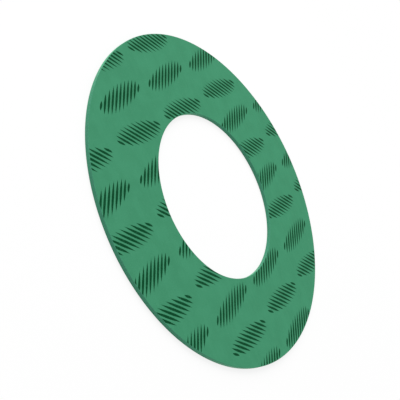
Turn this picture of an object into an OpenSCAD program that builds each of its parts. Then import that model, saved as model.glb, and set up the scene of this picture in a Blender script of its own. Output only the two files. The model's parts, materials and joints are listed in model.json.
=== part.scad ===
// Flat ring gasket, cut in one piece from a thin sheet of filled PTFE.
// It lies flat: the origin is the centre of the lower face, and +Z runs up through the bore.
// The sizes are those of a flat ring for a 1 inch raised-face pipe flange, in millimetres.

/* [Ring] */
// Inside diameter, which clears the bore of the pipe
bore_d = 33.3; // [20:0.1:50]
// Outside diameter, which drops inside the ring of flange bolts
outside_d = 66.5; // [52:0.1:100]

/* [Sheet] */
// Thickness of the sheet
sheet_t = 0.8; // [0.5:0.1:3.2]
// Radius that the cutting die leaves along each edge
edge_r = 0.08; // [0.02:0.01:0.2]

/* [Hidden] */
$fn = 180;
sheet_green = [0.28, 0.57, 0.43];
bore_r = bore_d / 2;
face_w = (outside_d - bore_d) / 2;

// Section through one side of the ring: a flat strip with four rounded corners
module ring_section() {
    translate([bore_r, edge_r]) square([face_w, sheet_t - 2 * edge_r]);
    translate([bore_r + edge_r, 0]) square([face_w - 2 * edge_r, sheet_t]);
    for (x = [edge_r, face_w - edge_r], z = [edge_r, sheet_t - edge_r])
        translate([bore_r + x, z]) circle(r = edge_r);
}

module gasket_ring() {
    color(sheet_green) rotate_extrude() ring_section();
}

gasket_ring();
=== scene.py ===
"""A flat ring gasket of green PTFE sheet, lying on a white floor.

Lengths are metres, unless a name says millimetres. Colours are linear light.
"""

import json
import math

import bpy
from mathutils import Matrix, Vector


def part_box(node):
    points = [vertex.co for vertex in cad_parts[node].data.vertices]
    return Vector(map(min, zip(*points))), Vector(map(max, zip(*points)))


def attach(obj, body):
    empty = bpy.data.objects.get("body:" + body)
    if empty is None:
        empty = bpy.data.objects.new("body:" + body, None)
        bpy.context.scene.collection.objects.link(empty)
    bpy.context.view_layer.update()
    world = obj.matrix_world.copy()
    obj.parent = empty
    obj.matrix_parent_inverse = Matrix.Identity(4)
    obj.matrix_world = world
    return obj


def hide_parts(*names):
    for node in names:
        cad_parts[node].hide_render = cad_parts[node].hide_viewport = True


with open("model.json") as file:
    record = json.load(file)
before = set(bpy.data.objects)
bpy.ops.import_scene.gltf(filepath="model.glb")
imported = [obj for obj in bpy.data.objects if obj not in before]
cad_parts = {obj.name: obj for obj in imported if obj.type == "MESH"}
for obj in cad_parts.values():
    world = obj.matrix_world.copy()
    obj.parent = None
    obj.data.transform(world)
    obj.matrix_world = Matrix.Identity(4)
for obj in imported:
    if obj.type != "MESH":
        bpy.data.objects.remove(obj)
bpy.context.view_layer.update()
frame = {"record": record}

MM = 0.001

# Sizes of the ring, from the frame: its thickness is the bore's straight wall and two rounded edges
ring_low, ring_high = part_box("gasket_ring")
bore_dims = next(m["dims"] for m in frame["record"]["mounts"] if m["name"] == "bore")
THICKNESS = ring_high.z
OUTER_R = min(ring_high.x, ring_high.y, -ring_low.x, -ring_low.y)
BORE_R = bore_dims["r_mm"] * MM
EDGE_R = (THICKNESS - bore_dims["length_mm"] * MM) / 2

# Mesh density
TURN_STEPS = 360
FACE_STEPS = 8
EDGE_STEPS = 5
WALL_STEPS = 3

# The flattened map: its middle, how far the ring reaches from it, and the gap left round the lower face
MAP_CENTRE = 0.5
MAP_REACH = 0.495
MAP_GAP = 0.03

# Colours
SHEET_DARK = (0.052, 0.263, 0.138)
SHEET_LIGHT = (0.060, 0.289, 0.155)
FILLER_PALE = (0.085, 0.320, 0.182)
INK_GREEN = (0.0005, 0.056, 0.0175)
CUT_TINT = (1.12, 0.99, 1.12)

# Gloss, sheen and relief of the sheet, its cut walls and the ink
PTFE_IOR = 1.35
SHEET_GLOSS = 0.05
SHEET_ROUGH = 0.6
CUT_ROUGH = 0.25
INK_ROUGH = 0.5
ROUGH_SPREAD = 0.05
CUT_SHEEN = 1.0
CUT_SHEEN_ROUGH = 0.3
CUT_SHEEN_TINT = (0.17, 0.94, 0.43)
RELIEF_STRENGTH = 0.6
RELIEF_DEPTH = 0.05 * MM
STREAK_RELIEF = 0.3
CUT_LINE_RELIEF = 3.0

# Textures: their middle value, the features in a millimetre, finer layers, and how the place is squeezed
NOISE_MIDDLE = 0.5
CLOUDS = {"per_mm": 0.35, "layers": 4.0}
GRAIN = {"per_mm": 5.0, "layers": 3.0}
FILLER = {"per_mm": 3.2, "layers": 1.0}
STREAKS = {"per_mm": 1.6, "layers": 3.0, "squeeze": (0.04, 1.0, 1.0)}
CUT_LINES = {"per_mm": 4.0, "layers": 3.0, "squeeze": (1.0, 1.0, 0.06)}
RAGGED = {"per_mm": 5.0, "layers": 2.0}
WEAR = {"per_mm": 2.2, "layers": 3.0}

# The sheet's shade: the textures' shares, with clouds for the rest, and the values they act between
GRAIN_SHARE = 0.25
STREAK_SHARE = 0.2
CUT_LINE_SHARE = 0.5
SHADE_SPAN = (0.35, 0.65)
ROUGH_SPAN = (0.3, 0.7)
FILLER_SPAN = (0.66, 0.74)
FILLER_STRENGTH = 0.35

# The print: rows of oval groups of strokes, which lean the other way in every second row
PRINT_TURN_DEG = 100.0
PRINT_ALONG_MM = 13.0
PRINT_ACROSS_MM = 3.5
GROUP_PITCH_MM = 16.0
ROW_PITCH_MM = 7.0
GROUP_HALF_W_MM = 6.3
GROUP_HALF_H_MM = 2.3
STROKE_PITCH_MM = 1.2
STROKE_LEAN_DEG = 45.0
STROKE_HALF_W_MM = 0.262

# The ink: how soft and ragged its edges are, the values over which it wears, and the cover left
INK_SOFT_MM = 0.05
INK_RAGGED_MM = 0.14
WEAR_SPAN = (0.25, 0.5)
WORN_COVER = 0.86

# The camera, as fitted to the photograph's outlines
CAMERA_ELEVATION_DEG = 34.811
CAMERA_ROLL_DEG = 67.587
CAMERA_DEPTH = 147.87 * MM
CENTRE_RIGHT = 3.55 * MM
CENTRE_UP = 4.14 * MM
SENSOR_MM = 36.0
LENS_MM = 69.58
FRAME_SHIFT_UP = 0.04
CLIP_START = 10 * MM

# Light
KEY_AZIMUTH_DEG = 166.0
KEY_ELEVATION_DEG = 34.0
KEY_DISTANCE = 1.0
KEY_SIZE = 0.9
KEY_WATTS = 9.0
SKY_STRENGTH = 0.595

# The floor: its share of lit paint, which holds the shadow, fades out away from the ring
FLOOR_SIZE = 6.0
FLOOR_GAP = 0.02 * MM
FLOOR_PAINT = 0.98
FLOOR_BOUNCE = 0.86
SHADOW_SHARE = 0.2
SHADOW_FADE = (1.3 * OUTER_R, 3.0 * OUTER_R)


def add_object(name, data):
    """A new object in the scene."""
    thing = bpy.data.objects.new(name, data)
    bpy.context.scene.collection.objects.link(thing)
    return thing


def new_node(tree, kind, **values):
    """A node of that kind. A value named for an input sets it, and any other sets a property."""
    node = tree.nodes.new(kind)
    for key, value in values.items():
        if key in node.inputs:
            node.inputs[key].default_value = value
        else:
            setattr(node, key, value)
    return node


def calc(tree, operation, *operands):
    """The output of a math node. Each operand is a number or another node's output."""
    node = new_node(tree, "ShaderNodeMath", operation=operation)
    for socket, operand in zip(node.inputs, operands):
        if isinstance(operand, (int, float)):
            socket.default_value = operand
        else:
            tree.links.new(operand, socket)
    return node.outputs[0]


def times(tree, vector, factors):
    """The vector with each of its three parts multiplied."""
    node = new_node(tree, "ShaderNodeVectorMath", operation="MULTIPLY")
    tree.links.new(vector, node.inputs[0])
    node.inputs[1].default_value = factors
    return node.outputs[0]


def noise(tree, place_mm, per_mm, layers, squeeze=(1.0, 1.0, 1.0)):
    """Smooth noise about a half. Features grow long where the place is squeezed."""
    node = new_node(tree, "ShaderNodeTexNoise", Scale=per_mm, Detail=layers)
    tree.links.new(times(tree, place_mm, squeeze), node.inputs["Vector"])
    return node.outputs["Fac"]


def ramp(tree, value, span, first=0.0, last=1.0):
    """Eases from the first number to the last as the value crosses the span, and holds beyond it."""
    node = new_node(tree, "ShaderNodeMapRange", interpolation_type="SMOOTHSTEP")
    numbers = {"From Min": span[0], "From Max": span[1], "To Min": first, "To Max": last}
    for name, number in numbers.items():
        node.inputs[name].default_value = number
    tree.links.new(value, node.inputs["Value"])
    return node.outputs["Result"]


def blend_colours(tree, factor, first, second):
    """Mixes two colours, each three numbers or another node's output."""
    node = new_node(tree, "ShaderNodeMix", data_type="RGBA")
    tree.links.new(factor, node.inputs["Factor"])
    # The colour sockets share their names with others, so they go by place
    for socket, colour in ((node.inputs[6], first), (node.inputs[7], second)):
        if isinstance(colour, tuple):
            socket.default_value = (*colour, 1)
        else:
            tree.links.new(colour, socket)
    return node.outputs[2]


def blend_shaders(tree, factor, first, second):
    """Mixes two shaders' outputs."""
    node = new_node(tree, "ShaderNodeMixShader")
    for socket, source in zip(node.inputs, (factor, first, second)):
        tree.links.new(source, socket)
    return node.outputs[0]


def seen_directly(tree):
    """1 for a ray from the camera, or one that gloss or glass sends on, and 0 for light that bounces."""
    path = new_node(tree, "ShaderNodeLightPath")
    sharp = calc(tree, "MAXIMUM", path.outputs["Is Glossy Ray"], path.outputs["Is Transmission Ray"])
    return calc(tree, "MAXIMUM", path.outputs["Is Camera Ray"], sharp)


def flat_stretch(start, end, normal, steps):
    """Points of the section along a straight line: radius, height, and the two parts of the normal."""
    shares = [i / steps for i in range(steps + 1)]
    return [(*(a + (b - a) * s for a, b in zip(start, end)), *normal) for s in shares]


def edge_stretch(centre_r, centre_z, start_deg):
    """Points of the section round one rounded edge, a quarter turn clockwise."""
    angles = [math.radians(start_deg - 90 * i / EDGE_STEPS) for i in range(EDGE_STEPS + 1)]
    ways = [(math.cos(a), math.sin(a)) for a in angles]
    return [(centre_r + EDGE_R * r, centre_z + EDGE_R * z, r, z) for r, z in ways]


def ring_section():
    """The section in four stretches, clockwise: upper face, outer rim, lower face and bore."""
    inner, outer = BORE_R + EDGE_R, OUTER_R - EDGE_R
    low, high = EDGE_R, THICKNESS - EDGE_R
    upper = flat_stretch((inner, THICKNESS), (outer, THICKNESS), (0, 1), FACE_STEPS)
    lower = flat_stretch((outer, 0), (inner, 0), (0, -1), FACE_STEPS)
    rim_wall = flat_stretch((OUTER_R, high), (OUTER_R, low), (1, 0), WALL_STEPS)
    bore_wall = flat_stretch((BORE_R, low), (BORE_R, high), (-1, 0), WALL_STEPS)
    rim = edge_stretch(outer, high, 90) + rim_wall[1:-1] + edge_stretch(outer, low, 0)
    bore = edge_stretch(inner, low, -90) + bore_wall[1:-1] + edge_stretch(inner, high, 180)
    return upper, rim, lower, bore


def run_lengths(points):
    """How far along the stretch each point lies."""
    lengths = [0.0]
    for (r0, z0, *_), (r1, z1, *_) in zip(points, points[1:]):
        lengths.append(lengths[-1] + math.hypot(r1 - r0, z1 - z0))
    return lengths


def map_radii(stretches):
    """Radii on the flattened map: walls unfold beside the upper face, and the lower one fits inside."""
    upper, rim, lower, bore = stretches
    bore_run = run_lengths(bore)
    upper_radii = [p[0] for p in upper]
    rim_radii = [upper_radii[-1] + s for s in run_lengths(rim)]
    bore_radii = [upper_radii[0] - bore_run[-1] + s for s in bore_run]
    shrink = (1 - MAP_GAP) * bore_radii[0] / lower[0][0]
    lower_radii = [p[0] * shrink for p in lower]
    scale = MAP_REACH / rim_radii[-1]
    return [[r * scale for r in radii] for radii in (upper_radii, rim_radii, lower_radii, bore_radii)]


def build_ring(printed, cut, plain):
    """The ring as one closed mesh, turned from its section, with exact normals and a flattened map."""
    stretches = ring_section()
    section = [p for stretch in stretches for p in stretch[:-1]]
    count = len(section)
    turns = [2 * math.pi * i / TURN_STEPS for i in range(TURN_STEPS + 1)]
    points = [(r * math.cos(t), r * math.sin(t), z) for t in turns[:-1] for r, z, _, _ in section]
    normals = [(r * math.cos(t), r * math.sin(t), z) for t in turns[:-1] for _, _, r, z in section]

    # Upper face, rim, lower face and bore: the material of each, and which way round it lies on the map
    materials = (0, 1, 2, 1)
    map_ways = (1, 1, -1, 1)
    radii_of_all = map_radii(stretches)
    faces, corner_uvs, face_materials = [], [], []
    for i in range(TURN_STEPS):
        start, end = i * count, (i + 1) % TURN_STEPS * count
        near = 0
        for radii, material, way in zip(radii_of_all, materials, map_ways):
            a, b = way * turns[i], way * turns[i + 1]
            for r0, r1 in zip(radii, radii[1:]):
                far = (near + 1) % count
                faces.append((start + near, start + far, end + far, end + near))
                for r, t in ((r0, a), (r1, a), (r1, b), (r0, b)):
                    corner_uvs += (MAP_CENTRE + r * math.cos(t), MAP_CENTRE + r * math.sin(t))
                face_materials.append(material)
                near += 1

    mesh = bpy.data.meshes.new("gasket_sheet")
    mesh.from_pydata(points, [], faces)
    for material in (printed, cut, plain):
        mesh.materials.append(material)
    mesh.polygons.foreach_set("material_index", face_materials)
    mesh.uv_layers.new(name="OFBake").data.foreach_set("uv", corner_uvs)
    mesh.shade_smooth()
    mesh.normals_split_custom_set_from_vertices(normals)
    ring = add_object("gasket_sheet", mesh)
    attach(ring, "root")
    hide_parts("gasket_ring")


def dome(tree, value):
    """1 at nought, falling to 0 at one either way, and below 0 beyond."""
    return calc(tree, "SUBTRACT", 1.0, calc(tree, "MULTIPLY", value, value))


def ink_cover(tree, place_mm):
    """How much ink covers a point of the upper face, from 0 to 1: leaf-shaped strokes in oval groups."""
    turned = new_node(tree, "ShaderNodeVectorRotate", rotation_type="Z_AXIS")
    turned.inputs["Angle"].default_value = -math.radians(PRINT_TURN_DEG)
    tree.links.new(place_mm, turned.inputs["Vector"])
    split = new_node(tree, "ShaderNodeSeparateXYZ")
    tree.links.new(turned.outputs[0], split.inputs[0])
    along = calc(tree, "ADD", split.outputs["X"], PRINT_ALONG_MM)
    across = calc(tree, "ADD", split.outputs["Y"], PRINT_ACROSS_MM)

    # Place within the group, and which way its row leans
    x = calc(tree, "WRAP", along, GROUP_PITCH_MM / 2, -GROUP_PITCH_MM / 2)
    y = calc(tree, "WRAP", across, ROW_PITCH_MM / 2, -ROW_PITCH_MM / 2)
    row = calc(tree, "FLOOR", calc(tree, "MULTIPLY_ADD", across, 1 / ROW_PITCH_MM, 0.5))
    odd = calc(tree, "FLOORED_MODULO", row, 2.0)
    lean = math.radians(STROKE_LEAN_DEG)
    slope = calc(tree, "MULTIPLY_ADD", odd, -2 * math.tan(lean), math.tan(lean))

    # The middle of the nearest stroke, and the distance beside it
    upright = calc(tree, "SUBTRACT", x, calc(tree, "MULTIPLY", y, slope))
    middle = calc(tree, "SNAP", calc(tree, "ADD", upright, STROKE_PITCH_MM / 2), STROKE_PITCH_MM)
    beside = calc(tree, "MULTIPLY", calc(tree, "SUBTRACT", upright, middle), math.cos(lean))

    # Each stroke reaches to the oval, and thins to its tips
    oval = dome(tree, calc(tree, "DIVIDE", middle, GROUP_HALF_W_MM))
    reach = calc(tree, "MULTIPLY", calc(tree, "SQRT", oval), GROUP_HALF_H_MM)
    taper = dome(tree, calc(tree, "DIVIDE", y, reach))
    half_w = calc(tree, "MULTIPLY", taper, STROKE_HALF_W_MM)
    inside = calc(tree, "SUBTRACT", half_w, calc(tree, "ABSOLUTE", beside))
    ragged = calc(tree, "SUBTRACT", noise(tree, place_mm, **RAGGED), NOISE_MIDDLE)
    inside = calc(tree, "MULTIPLY_ADD", ragged, INK_RAGGED_MM, inside)
    cover = ramp(tree, inside, (-INK_SOFT_MM, INK_SOFT_MM))
    return calc(tree, "MULTIPLY", cover, calc(tree, "GREATER_THAN", oval, 0.0))


def sheet_material(name, printed=False, cut=False):
    """Filled PTFE sheet: faint clouds, grain and specks, with rolling streaks, or lines on a cut wall."""
    material = bpy.data.materials.new(name)
    material.use_nodes = True
    tree = material.node_tree
    shader = tree.nodes["Principled BSDF"]
    shader.inputs["IOR"].default_value = PTFE_IOR
    shader.inputs["Specular IOR Level"].default_value = SHEET_GLOSS
    place = new_node(tree, "ShaderNodeTexCoord")
    place_mm = times(tree, place.outputs["Object"], (1 / MM, 1 / MM, 1 / MM))
    clouds = noise(tree, place_mm, **CLOUDS)
    grain = noise(tree, place_mm, **GRAIN)
    lines = noise(tree, place_mm, **(CUT_LINES if cut else STREAKS))
    line_share = CUT_LINE_SHARE if cut else STREAK_SHARE
    line_relief = CUT_LINE_RELIEF if cut else STREAK_RELIEF

    shade = calc(tree, "MULTIPLY", clouds, 1 - line_share - GRAIN_SHARE)
    shade = calc(tree, "MULTIPLY_ADD", lines, line_share, shade)
    shade = calc(tree, "MULTIPLY_ADD", grain, GRAIN_SHARE, shade)
    tint = CUT_TINT if cut else (1, 1, 1)
    dark, light = (tuple(c * t for c, t in zip(end, tint)) for end in (SHEET_DARK, SHEET_LIGHT))
    colour = blend_colours(tree, ramp(tree, shade, SHADE_SPAN), dark, light)
    specks = ramp(tree, noise(tree, place_mm, **FILLER), FILLER_SPAN, last=FILLER_STRENGTH)
    colour = blend_colours(tree, specks, colour, FILLER_PALE)
    mean_rough = CUT_ROUGH if cut else SHEET_ROUGH
    rough = ramp(tree, clouds, ROUGH_SPAN, mean_rough - ROUGH_SPREAD, mean_rough + ROUGH_SPREAD)

    if printed:
        ink = ink_cover(tree, place_mm)
        worn = ramp(tree, noise(tree, place_mm, **WEAR), WEAR_SPAN, first=WORN_COVER)
        colour = blend_colours(tree, calc(tree, "MULTIPLY", ink, worn), colour, INK_GREEN)
        rough = calc(tree, "MULTIPLY_ADD", ink, INK_ROUGH - SHEET_ROUGH, rough)

    # A cut wall brightens where it turns from view
    if cut:
        shader.inputs["Sheen Weight"].default_value = CUT_SHEEN
        shader.inputs["Sheen Roughness"].default_value = CUT_SHEEN_ROUGH
        shader.inputs["Sheen Tint"].default_value = (*CUT_SHEEN_TINT, 1)

    bump = new_node(tree, "ShaderNodeBump", Strength=RELIEF_STRENGTH, Distance=RELIEF_DEPTH)
    tree.links.new(calc(tree, "MULTIPLY_ADD", lines, line_relief, grain), bump.inputs["Height"])
    tree.links.new(bump.outputs[0], shader.inputs["Normal"])
    tree.links.new(colour, shader.inputs["Base Color"])
    tree.links.new(rough, shader.inputs["Roughness"])
    return material


def floor_material():
    """White where seen, with a faint shadow near the ring, and pale paint to light that bounces."""
    material = bpy.data.materials.new("floor")
    material.use_nodes = True
    tree = material.node_tree
    tree.nodes.clear()
    white = new_node(tree, "ShaderNodeEmission", Strength=1.0)
    paint = new_node(tree, "ShaderNodeBsdfDiffuse", Color=(FLOOR_PAINT, FLOOR_PAINT, FLOOR_PAINT, 1))
    bounce = new_node(tree, "ShaderNodeBsdfDiffuse", Color=(FLOOR_BOUNCE, FLOOR_BOUNCE, FLOOR_BOUNCE, 1))
    place = new_node(tree, "ShaderNodeTexCoord")
    away = new_node(tree, "ShaderNodeVectorMath", operation="LENGTH")
    tree.links.new(place.outputs["Object"], away.inputs[0])
    shadowed = ramp(tree, away.outputs["Value"], SHADOW_FADE, SHADOW_SHARE, 0.0)
    seen = blend_shaders(tree, shadowed, white.outputs[0], paint.outputs[0])
    either = blend_shaders(tree, seen_directly(tree), bounce.outputs[0], seen)
    out = new_node(tree, "ShaderNodeOutputMaterial")
    tree.links.new(either, out.inputs["Surface"])
    return material


def build_floor():
    """A flat white floor just under the ring."""
    half = FLOOR_SIZE / 2
    corners = [(-half, -half), (half, -half), (half, half), (-half, half)]
    mesh = bpy.data.meshes.new("floor")
    mesh.from_pydata([(x, y, -FLOOR_GAP) for x, y in corners], [], [(0, 1, 2, 3)])
    mesh.materials.append(floor_material())
    add_object("floor", mesh)


def build_camera():
    """Looks along +Y and down at the ring, rolled about its own axis as the photograph's view is."""
    elevation, roll = math.radians(CAMERA_ELEVATION_DEG), math.radians(CAMERA_ROLL_DEG)
    level_right = Vector((1, 0, 0))
    level_up = Vector((0, math.sin(elevation), math.cos(elevation)))
    back = Vector((0, -math.cos(elevation), math.sin(elevation)))
    right = math.cos(roll) * level_right + math.sin(roll) * level_up
    up = math.cos(roll) * level_up - math.sin(roll) * level_right
    face_centre = Vector((0, 0, THICKNESS))
    place = face_centre - CENTRE_RIGHT * right - CENTRE_UP * up + CAMERA_DEPTH * back
    data = bpy.data.cameras.new("camera")
    data.lens = LENS_MM
    data.sensor_width = SENSOR_MM
    data.shift_y = FRAME_SHIFT_UP
    data.clip_start = CLIP_START
    camera = add_object("camera", data)
    camera.matrix_world = Matrix.Translation(place) @ Matrix((right, up, back)).transposed().to_4x4()
    bpy.context.scene.camera = camera


def build_key():
    """A soft round lamp, low on the side that the photograph is lit from."""
    azimuth, elevation = math.radians(KEY_AZIMUTH_DEG), math.radians(KEY_ELEVATION_DEG)
    level = math.cos(elevation)
    towards = Vector((level * math.cos(azimuth), level * math.sin(azimuth), math.sin(elevation)))
    data = bpy.data.lights.new("key", "AREA")
    data.shape = "DISK"
    data.size = KEY_SIZE
    data.energy = KEY_WATTS
    key = add_object("key", data)
    key.location = towards * KEY_DISTANCE
    key.rotation_euler = towards.to_track_quat("Z", "Y").to_euler()


def build_world():
    """An even sky that fills the shade, and is white where it is seen."""
    world = bpy.data.worlds.new("studio")
    bpy.context.scene.world = world
    world.use_nodes = True
    tree = world.node_tree
    background = tree.nodes["Background"]
    background.inputs["Color"].default_value = (1, 1, 1, 1)
    strength = calc(tree, "MULTIPLY_ADD", seen_directly(tree), 1 - SKY_STRENGTH, SKY_STRENGTH)
    tree.links.new(strength, background.inputs["Strength"])


build_camera()
build_key()
build_world()
build_floor()
build_ring(
    printed=sheet_material("ptfe_printed", printed=True),
    cut=sheet_material("ptfe_cut", cut=True),
    plain=sheet_material("ptfe_plain"),
)
bpy.context.scene.view_settings.view_transform = "Standard"
